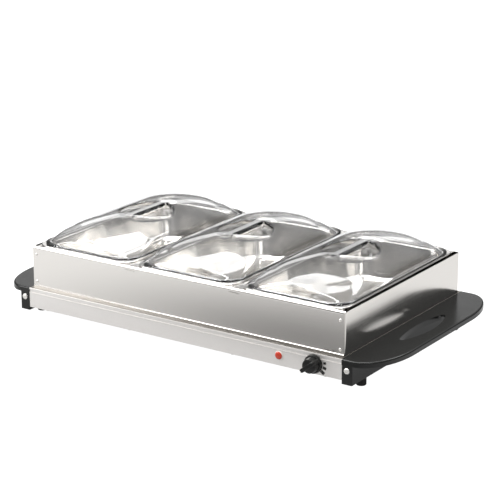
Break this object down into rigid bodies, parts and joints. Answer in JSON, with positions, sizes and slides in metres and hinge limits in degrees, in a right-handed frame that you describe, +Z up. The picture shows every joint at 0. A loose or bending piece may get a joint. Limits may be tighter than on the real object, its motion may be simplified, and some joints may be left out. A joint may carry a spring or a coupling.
{
  "type": "electric buffet server",
  "caption": "Electric hot-plate buffet server with end handles, a riveted lift-off frame, lift-out pans and clear dome lids, thermostat knob and indicator lamp.",
  "frame": {"origin": "on the table, under the middle of the whole outline", "axes": "+Z up, the front with the knob and the lamp faces -Y, +X runs along the server to the right-hand handle"},
  "size_m": [0.686, 0.3784, 0.1478],
  "materials": {
    "black_plastic": "semi-gloss moulded phenolic",
    "black_rubber": "matte rubber",
    "bright_bezel": "pale moulded ring",
    "bright_screw": "nickel plated",
    "brushed_aluminium": "brushed and clear anodised",
    "ceramic_white": "unglazed steatite",
    "clear_polycarbonate": "clear polished moulding",
    "element_sheath": "heat-tinted steel sheath",
    "galvanised_sheet": "zinc plated steel sheet",
    "glass_fibre": "needled glass-fibre felt",
    "lead_sleeve": "braided glass-fibre sleeve",
    "neon_glass": "clear glass",
    "polished_stainless": "polished stainless",
    "red_lens": "clear orange-red moulding",
    "reflector_foil": "bright aluminium sheet",
    "satin_stainless": "satin brushed stainless sheet"
  },
  "bodies": {
    "base": {"hot_plate": "satin_stainless", "front_rail": "brushed_aluminium", "rear_rail": "brushed_aluminium", "bottom_cover": "galvanised_sheet", "bottom_cover_screws": "bright_screw", "left_handle": "black_plastic", "right_handle": "black_plastic", "left_end_bracket": "galvanised_sheet", "right_end_bracket": "galvanised_sheet", "handle_screws": "bright_screw", "feet": "black_rubber", "foot_screws": "bright_screw", "heating_element": "element_sheath", "element_clips": "galvanised_sheet", "heat_reflector": "reflector_foil", "insulation_pad": "glass_fibre", "thermostat_bracket": "galvanised_sheet", "thermostat_body": "ceramic_white", "thermostat_screws": "bright_screw", "lamp_bezel": "bright_bezel", "lamp_lens": "red_lens", "lamp_bulb": "neon_glass", "cord_gland": "black_plastic", "gland_nut": "black_plastic", "terminal_block": "ceramic_white", "terminal_screws": "bright_screw", "thermal_cutout": "ceramic_white", "cutout_bracket": "galvanised_sheet", "supply_lead": "lead_sleeve", "element_lead": "lead_sleeve", "cutout_lead": "lead_sleeve", "neutral_lead": "lead_sleeve"},
    "knob": {"knob": "black_plastic", "thermostat_shaft": "element_sheath"},
    "buffet_frame": {"front_wall": "satin_stainless", "rear_wall": "satin_stainless", "left_wall": "satin_stainless", "right_wall": "satin_stainless", "frame_rivets": "bright_screw", "cross_bar_1": "satin_stainless", "cross_bar_2": "satin_stainless"},
    "pan_1": {"pan_1": "polished_stainless"},
    "lid_1": {"lid_1": "clear_polycarbonate"},
    "pan_2": {"pan_2": "polished_stainless"},
    "lid_2": {"lid_2": "clear_polycarbonate"},
    "pan_3": {"pan_3": "polished_stainless"},
    "lid_3": {"lid_3": "clear_polycarbonate"}
  },
  "joints": [
    {"name": "knob_turn", "type": "hinge", "parent": "base", "child": "knob", "pos_m": [0.234, -0.1692, 0.03225], "axis": [0, 1, 0], "range_deg": [0, 260]},
    {"name": "frame_lift", "type": "slide", "parent": "base", "child": "buffet_frame", "axis": [0, 0, 1], "range_m": [0, 0.06]},
    {"name": "pan_1_lift", "type": "slide", "parent": "buffet_frame", "child": "pan_1", "axis": [0, 0, 1], "range_m": [0, 0.12]},
    {"name": "lid_1_lift", "type": "slide", "parent": "pan_1", "child": "lid_1", "axis": [0, 0, 1], "range_m": [0, 0.06]},
    {"name": "pan_2_lift", "type": "slide", "parent": "buffet_frame", "child": "pan_2", "axis": [0, 0, 1], "range_m": [0, 0.12]},
    {"name": "lid_2_lift", "type": "slide", "parent": "pan_2", "child": "lid_2", "axis": [0, 0, 1], "range_m": [0, 0.06]},
    {"name": "pan_3_lift", "type": "slide", "parent": "buffet_frame", "child": "pan_3", "axis": [0, 0, 1], "range_m": [0, 0.12]},
    {"name": "lid_3_lift", "type": "slide", "parent": "pan_3", "child": "lid_3", "axis": [0, 0, 1], "range_m": [0, 0.06]}
  ]
}
